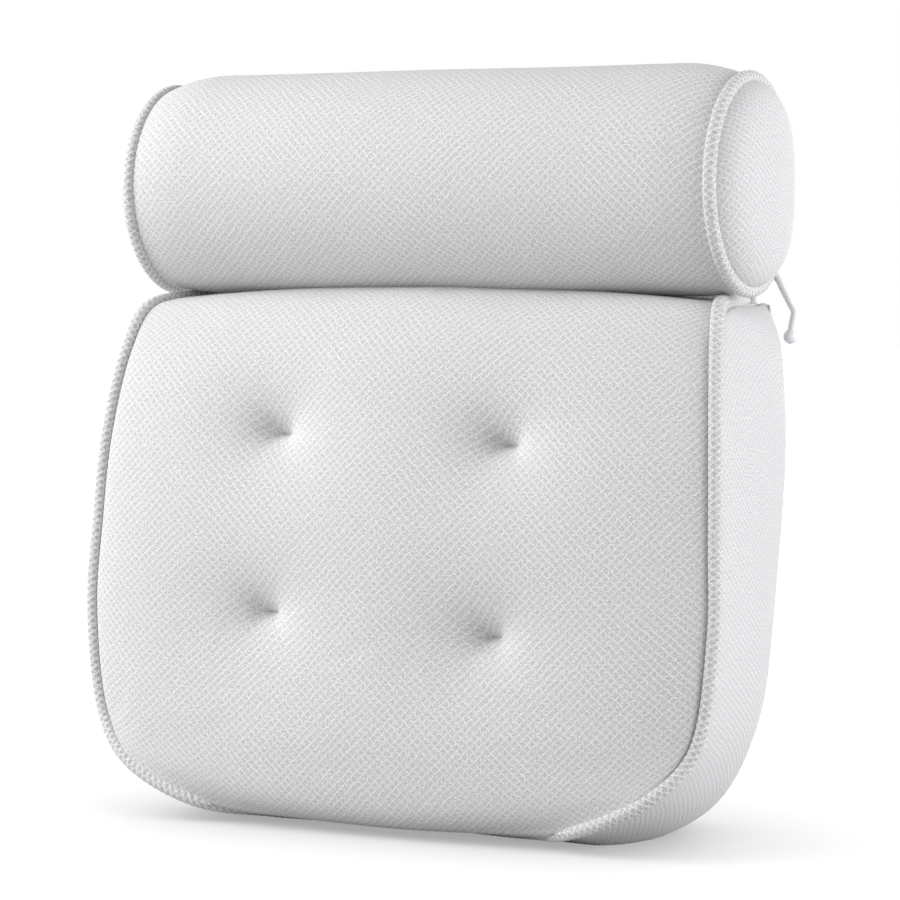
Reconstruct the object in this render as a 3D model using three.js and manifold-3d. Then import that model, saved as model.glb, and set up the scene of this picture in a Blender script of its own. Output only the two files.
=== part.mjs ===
// Bath pillow: a stuffed head roll above a tufted pad, both in white spacer mesh.
// A fabric strip joins them at the back, where suction cups and a hanging hook sit.
// Millimetres, +Z up, +Y to the back. The origin is on the floor, under the roll's axis.
import * as THREE from 'three';
import { mergeVertices } from 'three/addons/utils/BufferGeometryUtils.js';
import Module from 'manifold-3d';

const wasm = await Module();
wasm.setup();

// Cloth and sewing
const fabricWall = 4;
const seamWall = 1.5;
const sewnGap = 0.4;
const pipingRadius = 3.2;

// Pad, seen from the front
const padTop = 259;
const padWidth = 340;
const chestWidth = 333;
const shoulderWidth = 323;
const hingeWidth = 300;
const footWidth = 172;
const cornerRise = 82;
const shoulderHeight = 230;

// Pad, seen from the side: depths are measured from the roll's axis
const footDepth = 59;
const cornerDepth = 71;
const bellyDepth = 66;
const chestDepth = 57;
const shoulderDepth = 46;
const hingeSeamDepth = 43;
const backDepth = 46;
const backInset = 18;
const backRise = 13;
const backTop = 249;
const crown = 20;
const footSag = 19;

// Sewn tufts in the front panel
const tuftSpacing = 122;
const lowerTuftHeight = 103;
const upperTuftHeight = 190;
const tuftDepth = 17;
const tuftReach = 17;
const tieRadius = 1.6;
const tieHeadRadius = 3.4;
const tieHeadThickness = 1.4;

// Head roll
const rollHeight = 111;
const rollDepth = 105.4;
const rollLength = 318;
const ringDiameter = 102.6;
const shoulderRun = 28;
const endBulge = 12;
const restGap = 0.5;

// Hinge strip at the back
const stripWall = 3;
const stripWidth = 298;
const stripNeck = 236;
const stripLap = 20;
const stripClimb = 34;
const foldRise = 3;

// Suction cups and the eyelets that hold them
const cupDiameter = 46;
const cupHeight = 14;
const lipWidth = 3;
const neckDiameter = 9;
const headDiameter = 15;
const headThickness = 3;
const bossDiameter = 17;
const patchDiameter = 30;
const patchThickness = 1.6;
const padCupSpacing = 176;
const lowerCupHeight = 82;
const upperCupHeight = 192;
const rollCupSpacing = 190;

// Hanging hook and its webbing
const hookBar = 4;
const hookThroat = 10;
const hookRise = 32;
const hookLegX = 150;
const hookStandOff = 13;
const hookFlare = 4.5;
const hookTipRise = 9.5;
const ballDiameter = 7;
const eyeWidth = 22;
const eyeHeight = 8;
const hookAxisHeight = 230;
const webbingWidth = 12;
const webbingWall = 1.2;
const webbingTail = 10;
const webbingDrop = 8;

// Heights and depths that follow from the sizes above
const mix = THREE.MathUtils.lerp;
const vector = (x, y, z) => new THREE.Vector3(x, y, z);
const seamOffset = pipingRadius + sewnGap;
const seamFoot = 2 * pipingRadius + sewnGap;
const seamTop = padTop - pipingRadius;
const rollAxis = padTop + restGap + rollHeight / 2;
const rollFlatness = rollDepth / rollHeight;
const stripFace = backDepth + sewnGap;
const foldRadius = stripWall / 2;
const foldDepth = stripFace + foldRadius;
const foldHeight = padTop + foldRise;
const hookDepth = backDepth + hookStandOff;

// Mesh helpers
function bodyFrom(points, triangles) {
  const geometry = new THREE.BufferGeometry();
  const coordinates = points.flatMap((point) => point.toArray());
  geometry.setAttribute('position', new THREE.Float32BufferAttribute(coordinates, 3));
  geometry.setIndex(triangles);
  return facingOut(geometry);
}

function facingOut(source) {
  const bare = source.clone();
  bare.deleteAttribute('normal');
  bare.deleteAttribute('uv');
  const geometry = withoutSlivers(mergeVertices(bare, 1e-4));
  const position = geometry.getAttribute('position');
  const index = geometry.index.array;
  const [a, b, c] = [vector(), vector(), vector()];
  let volume = 0;
  for (let i = 0; i < index.length; i += 3) {
    a.fromBufferAttribute(position, index[i]);
    b.fromBufferAttribute(position, index[i + 1]);
    c.fromBufferAttribute(position, index[i + 2]);
    volume += a.dot(b.cross(c));
  }
  if (volume < 0) {
    geometry.setIndex([...index].reverse());
  }
  return geometry;
}

function withoutSlivers(geometry) {
  const kept = [];
  const index = geometry.index.array;
  for (let i = 0; i < index.length; i += 3) {
    const [a, b, c] = [index[i], index[i + 1], index[i + 2]];
    if (a !== b && b !== c && c !== a) {
      kept.push(a, b, c);
    }
  }
  geometry.setIndex(kept);
  return geometry;
}

function solidFrom(geometry) {
  const closed = facingOut(geometry);
  const vertProperties = new Float32Array(closed.getAttribute('position').array);
  const triVerts = new Uint32Array(closed.index.array);
  return new wasm.Manifold(new wasm.Mesh({ numProp: 3, vertProperties, triVerts }));
}

function geometryFrom(solid) {
  const mesh = solid.getMesh();
  const geometry = new THREE.BufferGeometry();
  geometry.setAttribute('position', new THREE.Float32BufferAttribute(mesh.vertProperties, 3));
  geometry.setIndex([...mesh.triVerts]);
  return geometry;
}

function cutFrom(geometry, tools) {
  const left = tools.reduce((solid, tool) => solid.subtract(solidFrom(tool)), solidFrom(geometry));
  return geometryFrom(left);
}

function joined(pieces) {
  return geometryFrom(pieces.map(solidFrom).reduce((solid, piece) => solid.add(piece)));
}

// A cloth wall between two grids of points, closed round its rim
function clothWall(outer, inner) {
  const rows = outer.length;
  const columns = outer[0].length;
  const at = (layer, row, column) => (layer * rows + row) * columns + column;
  const triangles = [];
  const quad = (a, b, c, d) => triangles.push(a, b, c, a, c, d);
  for (let row = 0; row < rows - 1; row++) {
    const next = row + 1;
    for (let column = 0; column < columns - 1; column++) {
      const beside = column + 1;
      quad(at(0, row, column), at(0, row, beside), at(0, next, beside), at(0, next, column));
      quad(at(1, row, column), at(1, next, column), at(1, next, beside), at(1, row, beside));
    }
  }
  const rim = rimOf(rows, columns);
  rim.forEach((here, i) => {
    const next = rim[(i + 1) % rim.length];
    quad(at(0, ...next), at(0, ...here), at(1, ...here), at(1, ...next));
  });
  return bodyFrom([...outer.flat(), ...inner.flat()], triangles);
}

// The grid places round the rim, in order: first row, last column, last row back, first column back
function rimOf(rows, columns) {
  const lastRow = rows - 1;
  const lastColumn = columns - 1;
  const alongRow = Array.from({ length: lastColumn }, (_, i) => i);
  const alongColumn = Array.from({ length: lastRow }, (_, i) => i);
  return [
    ...alongRow.map((i) => [0, i]),
    ...alongColumn.map((i) => [i, lastColumn]),
    ...alongRow.map((i) => [lastRow, lastColumn - i]),
    ...alongColumn.map((i) => [lastRow - i, 0]),
  ];
}

// A grid moved along its normals, by less at the rim, where a seam presses the cloth
function offsetGrid(grid, distance, rimDistance) {
  const lastRow = grid.length - 1;
  return grid.map((row, j) => row.map((point, i) => {
    const along = row[Math.min(i + 1, row.length - 1)].clone().sub(row[Math.max(i - 1, 0)]);
    const across = grid[Math.min(j + 1, lastRow)][i].clone().sub(grid[Math.max(j - 1, 0)][i]);
    const onRim = j === 0 || j === lastRow || i === 0 || i === row.length - 1;
    const normal = along.cross(across).normalize();
    return point.clone().addScaledVector(normal, onRim ? rimDistance : distance);
  }));
}

// A profile of [depth, height] points pushed along X, centred on a place across the pillow
function acrossPillow(profile, width, centre, hole) {
  const shape = new THREE.Shape(profile.map(([y, z]) => new THREE.Vector2(y, z)));
  if (hole) {
    shape.holes.push(hole);
  }
  const sideways = new THREE.Matrix4().makeBasis(vector(0, 1, 0), vector(0, 0, 1), vector(1, 0, 0));
  return new THREE.ExtrudeGeometry(shape, { depth: width, bevelEnabled: false, curveSegments: 5 })
    .applyMatrix4(sideways)
    .translate(centre - width / 2, 0, 0);
}

function tubeAlong(curve, radius, steps, sides) {
  const corners = Array.from({ length: sides }, (_, i) => {
    const angle = 2 * Math.PI * i / sides;
    return new THREE.Vector2(radius * Math.cos(angle), radius * Math.sin(angle));
  });
  const settings = { steps, extrudePath: curve, bevelEnabled: false };
  return new THREE.ExtrudeGeometry(new THREE.Shape(corners), settings);
}

function turned(profile, segments) {
  const points = profile.map(([radius, along]) => new THREE.Vector2(radius, along));
  return new THREE.LatheGeometry(points, segments);
}

// Seam between front panel and gusset: from the hinge down the right side, under the foot and up the left.
// A place between two named sizes is a share of the way from one to the other.
const corner = (share) => mix(footWidth, padWidth, share) / 2;
const midHeight = (lowerTuftHeight + upperTuftHeight) / 2;
const midDepth = mix(bellyDepth, chestDepth, 0.42);
const rightSeam = [
  vector(hingeWidth / 2, hingeSeamDepth, seamTop - 2),
  vector(mix(shoulderWidth, hingeWidth, 0.75) / 2, hingeSeamDepth * 0.18, seamTop),
  vector(mix(shoulderWidth, hingeWidth, 0.4) / 2, -shoulderDepth * 0.58, seamTop - 5),
  vector(shoulderWidth / 2, -shoulderDepth, shoulderHeight),
  vector(chestWidth / 2, -chestDepth, upperTuftHeight),
  vector(mix(padWidth, chestWidth, 0.35) / 2, -midDepth, midHeight),
  vector(padWidth / 2, -bellyDepth, lowerTuftHeight),
  vector(corner(0.86), -mix(bellyDepth, cornerDepth, 0.7), seamFoot + 0.5 * cornerRise),
  vector(corner(0.5), -cornerDepth, seamFoot + 0.24 * cornerRise),
  vector(corner(0), -mix(footDepth, cornerDepth, 0.4), seamFoot),
];
const footCentre = vector(0, -footDepth, seamFoot - 0.5);
const mirrored = (points) => points.map((p) => vector(-p.x, p.y, p.z)).reverse();
const seam = new THREE.CatmullRomCurve3([...rightSeam, footCentre, ...mirrored(rightSeam)]);
const lastSeam = rightSeam.length - 1;
const footShare = lastSeam / (2 * rightSeam.length);

// Back edge of the gusset, matched point for point with the seam
const chestPlace = 4;
const bellyPlace = 6;
const cornerLift = [20, 11, 11];
const rightBack = rightSeam.map((p, i) => {
  const inset = backInset * Math.min(1, i / chestPlace);
  const sideHeight = mix(backTop, lowerTuftHeight + 5, i / bellyPlace);
  const cornerHeight = p.z + (cornerLift[i - bellyPlace - 1] ?? 0);
  return vector(p.x - inset, backDepth, i <= bellyPlace ? sideHeight : cornerHeight);
});
const backFoot = vector(0, backDepth, backRise);
const backEdge = new THREE.CatmullRomCurve3([...rightBack, backFoot, ...mirrored(rightBack)]);

// Direction out of the pad's side at a place along the seam
function outward(t) {
  const tangent = seam.getTangent(t);
  const direction = vector(-tangent.z, 0, tangent.x);
  direction.x += Math.sign(seam.getPoint(t).x) * (1 - direction.length());
  return direction.normalize();
}

// A step away from the piping, square to it and towards a direction
function besidePiping(t, direction, distance) {
  const tangent = seam.getTangent(t);
  const away = direction.clone().addScaledVector(tangent, -direction.dot(tangent)).normalize();
  return seam.getPoint(t).addScaledVector(away, distance);
}

// Gusset: each section swells from the piping and rounds into the back
const sideSwell = 0.07;
const footSwell = 0.17;
const frontShare = 0.38;
const backRound = 0.18;
const backLean = 0.045;

function gussetSection(t) {
  const back = backEdge.getPoint(t);
  const span = back.clone().sub(seam.getPoint(t));
  const out = outward(t);
  const start = besidePiping(t, span, seamOffset);
  const reach = span.length();
  const swell = reach * mix(sideSwell, footSwell, Math.max(0, -out.z));
  const nearFront = start.clone().addScaledVector(span, frontShare).addScaledVector(out, swell);
  const nearBack = back.clone().addScaledVector(out, reach * backRound);
  nearBack.y -= reach * backLean;
  return new THREE.CubicBezierCurve3(start, nearFront, nearBack, back);
}

const onFloor = (point) => point.setZ(Math.max(0, point.z));
const sideSteps = [2, 2, 2, 3, 3, 3, 3, 2, 2];
const footSteps = 8;

const sectionSteps = 7;

// Places along the seam from the hinge to the foot, a few in each stretch
function sidePlaces() {
  const stretches = sideSteps.map((steps, stretch) => Array.from({ length: steps }, (_, i) => {
    return (stretch + (i + 1) / steps) * footShare / lastSeam;
  }));
  return [0, ...stretches.flat()];
}

// Places all the way round: down the right side, across the foot and up the left side
function roundPlaces() {
  const side = sidePlaces();
  const foot = Array.from({ length: footSteps - 1 }, (_, i) => {
    return mix(footShare, 1 - footShare, (i + 1) / footSteps);
  });
  return [...side, ...foot, ...side.map((t) => 1 - t).reverse()];
}

function gussetGeometry() {
  const outer = roundPlaces().map((t) => gussetSection(t).getPoints(sectionSteps).map(onFloor));
  return clothWall(outer, offsetGrid(outer, fabricWall, seamWall));
}

// Front panel: rows run from the foot up the front and over the top to the hinge
const footReach = 0.32;
const sagBias = 0.6;
const crownBias = 0.75;
const crownFullness = 0.55;
const innerColumns = 5;
const outerColumns = 7;
const tuftX = tuftSpacing / 2;
const tuftPlaces = [
  [tuftX, lowerTuftHeight],
  [tuftX, upperTuftHeight],
  [-tuftX, lowerTuftHeight],
  [-tuftX, upperTuftHeight],
];

function panelEdge(t) {
  const nearFoot = (t / footShare) ** 4;
  const direction = vector(nearFoot - 1, -nearFoot, 0.3 * nearFoot);
  return besidePiping(t, direction, seamOffset + seamWall * nearFoot);
}

function panelColumns(halfWidth) {
  const inner = Array.from({ length: innerColumns }, (_, i) => tuftX * (i + 1) / innerColumns);
  const outer = Array.from({ length: outerColumns }, (_, i) => {
    return mix(tuftX, halfWidth, (i + 1) / outerColumns);
  });
  const half = [...inner, ...outer];
  return [...half.map((x) => -x).reverse(), 0, ...half];
}

function tuftPull(x, z) {
  return tuftPlaces.reduce((sum, place) => {
    return sum + tuftDepth * Math.exp(-Math.hypot(x - place[0], z - place[1]) / tuftReach);
  }, 0);
}

function frontPanelGrid() {
  const edges = sidePlaces().reverse().map(panelEdge);
  return edges.map((edge, row) => {
    const below = edges[Math.max(0, row - 1)];
    const above = edges[Math.min(edges.length - 1, row + 1)];
    const normal = vector(0, below.z - above.z, above.y - below.y).normalize();
    const share = row / (edges.length - 1);
    const height = crown * Math.sin(Math.PI * share ** crownBias);
    const sag = footSag * Math.sin(Math.PI * Math.min(1, share / footReach) ** sagBias);
    const inFront = edge.y < -shoulderDepth / 2;
    return panelColumns(edge.x).map((x) => {
      const swell = (1 - (x / edge.x) ** 2) ** crownFullness;
      const pull = inFront ? tuftPull(x, edge.z) : 0;
      const onEdge = vector(x, edge.y, edge.z - sag * swell);
      const point = onEdge.addScaledVector(normal, height * swell - pull);
      return onFloor(point.setZ(Math.min(point.z, padTop)));
    });
  });
}

const frontGrid = frontPanelGrid();
const frontInner = offsetGrid(frontGrid, -fabricWall, -seamWall);

// Back panel: a flat sheet inside the gusset's back edge, with a hole for each cup's neck
const neckHole = neckDiameter / 2 + sewnGap;
const padCupX = padCupSpacing / 2;
const padCupPlaces = [
  [-padCupX, lowerCupHeight],
  [padCupX, lowerCupHeight],
  [-padCupX, upperCupHeight],
  [padCupX, upperCupHeight],
];

function backPanelGeometry() {
  const outline = roundPlaces().map((t) => {
    const point = backEdge.getPoint(t).addScaledVector(outward(t), -seamWall);
    return new THREE.Vector2(point.x, point.z);
  });
  const shape = new THREE.Shape(outline);
  padCupPlaces.forEach(([x, z]) => {
    shape.holes.push(new THREE.Path().absarc(x, z, neckHole, 0, 2 * Math.PI));
  });
  return new THREE.ExtrudeGeometry(shape, { depth: fabricWall, bevelEnabled: false, curveSegments: 9 })
    .rotateX(Math.PI / 2)
    .translate(0, backDepth, 0);
}

// Stuffing of the pad: follows the inside of the front panel, the gusset and the back
const fillGap = 0.6;
const fillFoot = 3;
const fillInset = fabricWall + 3;
const backFace = backDepth - fabricWall;

function fillRings(rim, grid) {
  const side = sidePlaces().reverse();
  const footHalf = Math.abs(grid[0][0].x);
  return rim.map(([row, column]) => {
    const front = grid[row][column];
    const mirror = Math.sign(front.x) || 1;
    const onSide = column === 0 || column === grid[0].length - 1;
    const atFoot = row === 0 && !onSide;
    const t = atFoot ? mix(footShare, 0.5, 1 - Math.abs(front.x) / footHalf) : side[row + fillFoot];
    const place = mirror > 0 ? t : 1 - t;
    const out = outward(place);
    const atHinge = row === grid.length - 1 && !onSide;
    const back = backEdge.getPoint(place).addScaledVector(out, -fillInset).setY(backFace - fillGap);
    if (atHinge) {
      back.set(front.x, backFace - fillGap, backTop - fillInset);
      return [front, front.clone().lerp(back, 0.35), front.clone().lerp(back, 0.7), back];
    }
    const curve = gussetSection(place);
    const belly = onFloor(curve.getPoint(0.4)).addScaledVector(out, -fabricWall - fillGap);
    const rear = onFloor(curve.getPoint(0.72)).addScaledVector(out, -fillInset);
    rear.y -= fabricWall;
    return [front, belly, rear, back];
  });
}

function padFillGeometry() {
  const inside = offsetGrid(frontGrid, -fabricWall - fillGap, -fabricWall);
  const grid = inside.slice(fillFoot, -1).map((row) => row.slice(1, -1));
  const rows = grid.length;
  const columns = grid[0].length;
  const points = grid.flat();
  const triangles = [];
  const quad = (a, b, c, d) => triangles.push(a, b, c, a, c, d);
  for (let row = 0; row < rows - 1; row++) {
    for (let column = 0; column < columns - 1; column++) {
      const a = row * columns + column;
      quad(a, a + 1, a + columns + 1, a + columns);
    }
  }
  const rim = rimOf(rows, columns);
  const rings = fillRings(rim, grid);
  const layers = rings[0].length;
  const first = points.length;
  rings.forEach((ring) => points.push(...ring.slice(1)));
  const at = (place, layer) => {
    const [row, column] = rim[place % rim.length];
    return layer === 0 ? row * columns + column : first + (place % rim.length) * (layers - 1) + layer - 1;
  };
  for (let place = 0; place < rim.length; place++) {
    for (let layer = 0; layer < layers - 1; layer++) {
      quad(at(place, layer), at(place, layer + 1), at(place + 1, layer + 1), at(place + 1, layer));
    }
  }
  const outline = rings.map((ring) => new THREE.Vector2(ring[layers - 1].x, ring[layers - 1].z));
  THREE.ShapeUtils.triangulateShape(outline, []).forEach((face) => {
    const clockwise = THREE.ShapeUtils.isClockWise(outline);
    const corners = clockwise ? face : [...face].reverse();
    triangles.push(...corners.map((place) => at(place, layers - 1)));
  });
  return cutFrom(bodyFrom(points, triangles), [...padPockets(), ...tieChannels()]);
}

// Room in the stuffing for each cup's head, and for each tuft's tie
const pocketRadius = headDiameter / 2 + 1;
const pocketDepth = headThickness + 2;

function padPockets() {
  return padCupPlaces.map(([x, z]) => {
    const length = pocketDepth + fabricWall;
    return new THREE.CylinderGeometry(pocketRadius, pocketRadius, length, 14)
      .translate(x, backFace - pocketDepth + length / 2, z);
  });
}

function tieChannels() {
  const length = backDepth + cornerDepth + 2 * crown;
  const radius = tieHeadRadius + 1;
  return tuftPlaces.map(([x, z]) => {
    return new THREE.CylinderGeometry(radius, radius, length, 10).translate(x, backDepth - length / 2, z);
  });
}

// Tie: thread from the inside of a tuft to the back panel, with a flat head under the tuft
function tieGeometry([x, z]) {
  const tuftPoint = frontInner.flat().reduce((best, point) => {
    const distance = (p) => Math.hypot(p.x - x, p.z - z);
    return distance(point) < distance(best) ? point : best;
  });
  const front = tuftPoint.y + sewnGap;
  const profile = [
    [0, front],
    [tieHeadRadius, front],
    [tieHeadRadius, front + tieHeadThickness],
    [tieRadius, front + 2 * tieHeadThickness],
    [tieRadius, backFace - sewnGap],
    [0, backFace - sewnGap],
  ];
  return turned(profile, 10).translate(x, 0, z);
}

// Head roll: turned about X and flattened a little from front to back
const rollRadius = rollHeight / 2;
const ringRadius = ringDiameter / 2;
const ringX = rollLength / 2;
const sleeveHalf = ringX - seamOffset;
const sleeveEdge = ringRadius + 0.6;
const discRadius = ringRadius - seamOffset;
const discFace = ringX + fabricWall / 2;

function aboutRollAxis(profile, segments) {
  return turned(profile, segments)
    .rotateZ(-Math.PI / 2)
    .scale(1, rollFlatness, 1)
    .translate(0, 0, rollAxis);
}

function sleeveRadius(x) {
  const past = Math.max(0, (Math.abs(x) - sleeveHalf + shoulderRun) / shoulderRun);
  return rollRadius - (rollRadius - sleeveEdge) * past ** 2;
}

const sleevePlaces = [0, 0.45, 0.75, 1].map((share) => sleeveHalf - shoulderRun + share * shoulderRun);
const bothWays = (places) => [...places.map((x) => -x).reverse(), ...places];

function sleeveGeometry() {
  const outer = bothWays(sleevePlaces).map((x) => [sleeveRadius(x), x]);
  const inner = bothWays(sleevePlaces).reverse().map((x) => [sleeveRadius(x) - fabricWall, x]);
  const necks = rollCupPlaces.map((x) => neckTool(x, neckHole));
  return cutFrom(aboutRollAxis([...outer, ...inner, outer[0]], 36), necks);
}

const domeBulge = (radius) => endBulge * Math.sqrt(Math.max(0, 1 - (radius / discRadius) ** 2));

function discGeometry(side) {
  const radii = [0, 0.3, 0.55, 0.76, 0.91, 1].map((share) => share * discRadius);
  const outer = radii.map((radius) => [radius, discFace + domeBulge(radius)]);
  const inner = [...outer].reverse().map(([radius, x]) => [radius, x - fabricWall]);
  const geometry = aboutRollAxis([...outer, ...inner], 26);
  return side > 0 ? geometry : geometry.scale(-1, 1, 1);
}

function rollPipingGeometry(side) {
  return new THREE.TorusGeometry(ringRadius, pipingRadius, 8, 40)
    .rotateY(Math.PI / 2)
    .scale(1, rollFlatness, 1)
    .translate(side * ringX, 0, rollAxis);
}

function rollFillGeometry() {
  const inset = fabricWall + fillGap;
  const body = sleevePlaces.map((x) => [sleeveRadius(x) - inset, x - fillGap]);
  const dome = [0.88, 0.65, 0.35, 0].map((share) => {
    const radius = share * (discRadius - inset);
    return [radius, discFace + domeBulge(radius + inset) - inset];
  });
  const half = [...body, ...dome];
  const profile = [...half.map(([radius, x]) => [radius, -x]).reverse(), ...half];
  const pockets = rollCupPlaces.map((x) => neckTool(x, pocketRadius, rollPocket));
  return cutFrom(aboutRollAxis(profile, 24), pockets);
}

// Cups on the roll sit on its back, at the height of its axis
const rollCupPlaces = [-rollCupSpacing / 2, rollCupSpacing / 2];
const rollBack = rollDepth / 2;
const saddleSink = (headDiameter / 2) ** 2 / rollHeight + 0.2;
const rollGrip = rollBack - fabricWall - sewnGap - saddleSink;
const rollPocket = rollGrip - pocketDepth;

function neckTool(x, radius, from = rollBack - 2 * fabricWall) {
  const length = rollBack + fabricWall - from;
  return new THREE.CylinderGeometry(radius, radius, length, 16).translate(x, from + length / 2, rollAxis);
}

// Eyelet patch: a moulded ring with a rounded edge, flat on the pad and saddled on the roll
function patchGeometry(x, z, inner, outer) {
  const radius = patchDiameter / 2;
  const profile = [
    [neckHole, inner],
    [radius, inner],
    [radius, outer - 0.8],
    [radius - 1, outer],
    [neckHole, outer],
    [neckHole, inner],
  ];
  return turned(profile, 20).translate(x, 0, z);
}

const padPatchFace = backDepth + sewnGap + patchThickness;
const rollPatchFace = rollBack + sewnGap + patchThickness;

function rollPatchGeometry(x) {
  const block = patchGeometry(x, rollAxis, rollBack - fabricWall, rollPatchFace);
  const clear = rollRadius + sewnGap / rollFlatness;
  const bed = new THREE.CylinderGeometry(clear, clear, 2 * patchDiameter, 48).rotateZ(Math.PI / 2);
  return cutFrom(block, [bed.scale(1, rollFlatness, 1).translate(x, 0, rollAxis)]);
}

// Suction cup: a mushroom head inside the cover, a neck through the eyelet and a soft cup outside
function cupGeometry(x, z, grip, face) {
  const seat = face + sewnGap;
  const rim = seat + cupHeight;
  const cup = cupDiameter / 2;
  const boss = bossDiameter / 2;
  const head = headDiameter / 2;
  const profile = [
    [0, grip - headThickness],
    [head - 1.2, grip - headThickness],
    [head, grip - headThickness / 2],
    [head - 0.4, grip],
    [neckDiameter / 2, grip],
    [neckDiameter / 2, seat],
    [boss, seat],
    [boss, seat + 0.2 * cupHeight],
    [mix(boss, cup, 0.5), seat + 0.5 * cupHeight],
    [cup, rim - 1],
    [cup, rim],
    [cup - lipWidth, rim],
    [mix(boss, cup - lipWidth, 0.6), seat + 0.72 * cupHeight],
    [boss, seat + 0.54 * cupHeight],
    [0, seat + 0.46 * cupHeight],
  ];
  return turned(profile, 16).translate(x, 0, z);
}

// Hinge strip: its wide lower half is sewn to the pad, its neck to the roll, and they meet at the fold
function lowerStripGeometry() {
  const top = foldHeight - foldRadius - sewnGap;
  const profile = [
    [stripFace, top],
    [stripFace, foldHeight - stripLap],
    [stripFace + stripWall, foldHeight - stripLap],
    [stripFace + stripWall, top],
  ];
  return acrossPillow(profile, stripWidth, 0);
}

function upperStripGeometry() {
  const stripTop = foldHeight + stripClimb;
  const lift = rollAxis - stripTop;
  const rollFace = rollFlatness * Math.sqrt(rollRadius ** 2 - lift ** 2) + sewnGap;
  const fold = Array.from({ length: 7 }, (_, i) => {
    const angle = Math.PI + Math.PI * i / 6;
    return [foldDepth + foldRadius * Math.cos(angle), foldHeight + foldRadius * Math.sin(angle)];
  });
  return acrossPillow([...fold, [rollFace + stripWall, stripTop], [rollFace, stripTop]], stripNeck, 0);
}

// Hook: one moulded bar with a closed eye, a throat and a flared leg that ends in a ball
const barRadius = hookBar / 2;
const hookTop = hookAxisHeight + hookRise;
const throatRadius = (hookThroat + hookBar) / 2;
const shankX = hookLegX - 2 * throatRadius;
const kinkFlare = 0.6;
const kinkDrop = 0.4;
const eyeRound = 1.6;
const eyeEase = 0.3;

function hookGeometry() {
  const inPlane = (x, z) => vector(x, hookDepth, z);
  const bend = Array.from({ length: 7 }, (_, i) => {
    const angle = Math.PI * (1 - i / 6);
    const along = shankX + throatRadius * (1 + Math.cos(angle));
    return inPlane(along, hookTop + throatRadius * Math.sin(angle));
  });
  const tipHeight = hookAxisHeight + hookTipRise;
  const tip = inPlane(hookLegX + hookFlare, tipHeight);
  const hookLine = new THREE.CatmullRomCurve3([
    inPlane(shankX, hookAxisHeight + eyeHeight),
    inPlane(shankX, mix(hookAxisHeight + eyeHeight, hookTop, 0.5)),
    ...bend,
    inPlane(hookLegX + kinkFlare * hookFlare, mix(hookTop, tipHeight, kinkDrop)),
    tip,
  ]);
  const eyeHalf = (eyeWidth - hookBar) / 2;
  const eyeCorner = (sign, dx, dz) => inPlane(shankX + sign * (eyeHalf - dx), hookAxisHeight + dz);
  const eyeLine = new THREE.CatmullRomCurve3([
    eyeCorner(-1, 0, eyeHeight),
    eyeCorner(-1, 0, 0.5 * eyeHeight),
    eyeCorner(-1, eyeEase, 0.12 * eyeHeight),
    eyeCorner(-1, eyeRound, 0),
    inPlane(shankX, hookAxisHeight),
    eyeCorner(1, eyeRound, 0),
    eyeCorner(1, eyeEase, 0.12 * eyeHeight),
    eyeCorner(1, 0, 0.5 * eyeHeight),
    eyeCorner(1, 0, eyeHeight),
  ]);
  const topBar = new THREE.CylinderGeometry(barRadius, barRadius, 2 * eyeHalf, 8)
    .rotateZ(Math.PI / 2)
    .translate(shankX, hookDepth, hookAxisHeight + eyeHeight);
  const shoulders = [-1, 1].map((sign) => new THREE.SphereGeometry(barRadius * 1.04, 8, 6)
    .translate(shankX + sign * eyeHalf, hookDepth, hookAxisHeight + eyeHeight));
  const ball = new THREE.SphereGeometry(ballDiameter / 2, 10, 8).translate(...tip.toArray());
  return joined([
    tubeAlong(hookLine, barRadius, 24, 8),
    tubeAlong(eyeLine, barRadius, 22, 8),
    topBar,
    ...shoulders,
    ball,
  ]);
}

// Webbing: a loop round the eye's lower bar, with its tail sewn flat to the back panel
function webbingGeometry() {
  const holeRadius = barRadius + sewnGap;
  const loopRadius = holeRadius + webbingWall;
  const onLoop = (degrees, radius) => {
    const angle = THREE.MathUtils.degToRad(degrees);
    return [hookDepth + radius * Math.cos(angle), hookAxisHeight + radius * Math.sin(angle)];
  };
  const loop = Array.from({ length: 20 }, (_, i) => onLoop(18 * i, loopRadius));
  const hole = new THREE.Path().absarc(hookDepth, hookAxisHeight, holeRadius, 0, 2 * Math.PI, true);
  const seat = backDepth + sewnGap;
  const tailTop = hookAxisHeight - webbingDrop;
  const middle = (holeRadius + loopRadius) / 2;
  const tail = [
    [seat, tailTop],
    [seat, tailTop - webbingTail],
    [seat + 2 * webbingWall, tailTop - webbingTail],
    [seat + 2 * webbingWall, tailTop - 1],
    onLoop(240, middle),
    onLoop(196, middle),
  ];
  const ring = acrossPillow(loop, webbingWidth, shankX, hole);
  return joined([ring, acrossPillow(tail, webbingWidth, shankX)]);
}

// Assembly
const pillow = new THREE.Group();

const finishes = {
  mesh: { color: 0xf1f1ef, roughness: 0.95, metalness: 0 },
  piping: { color: 0xf4f4f2, roughness: 0.9, metalness: 0 },
  stuffing: { color: 0xfafaf7, roughness: 1, metalness: 0 },
  thread: { color: 0xededea, roughness: 0.8, metalness: 0 },
  vinyl: { color: 0xe8ecee, roughness: 0.25, metalness: 0 },
  webbing: { color: 0xf2f2f0, roughness: 0.85, metalness: 0 },
  plastic: { color: 0xf6f6f5, roughness: 0.35, metalness: 0 },
};

function addPiece(name, geometry, finish) {
  const piece = new THREE.Mesh(facingOut(geometry), new THREE.MeshStandardMaterial(finishes[finish]));
  piece.name = name;
  pillow.add(piece);
}

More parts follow.
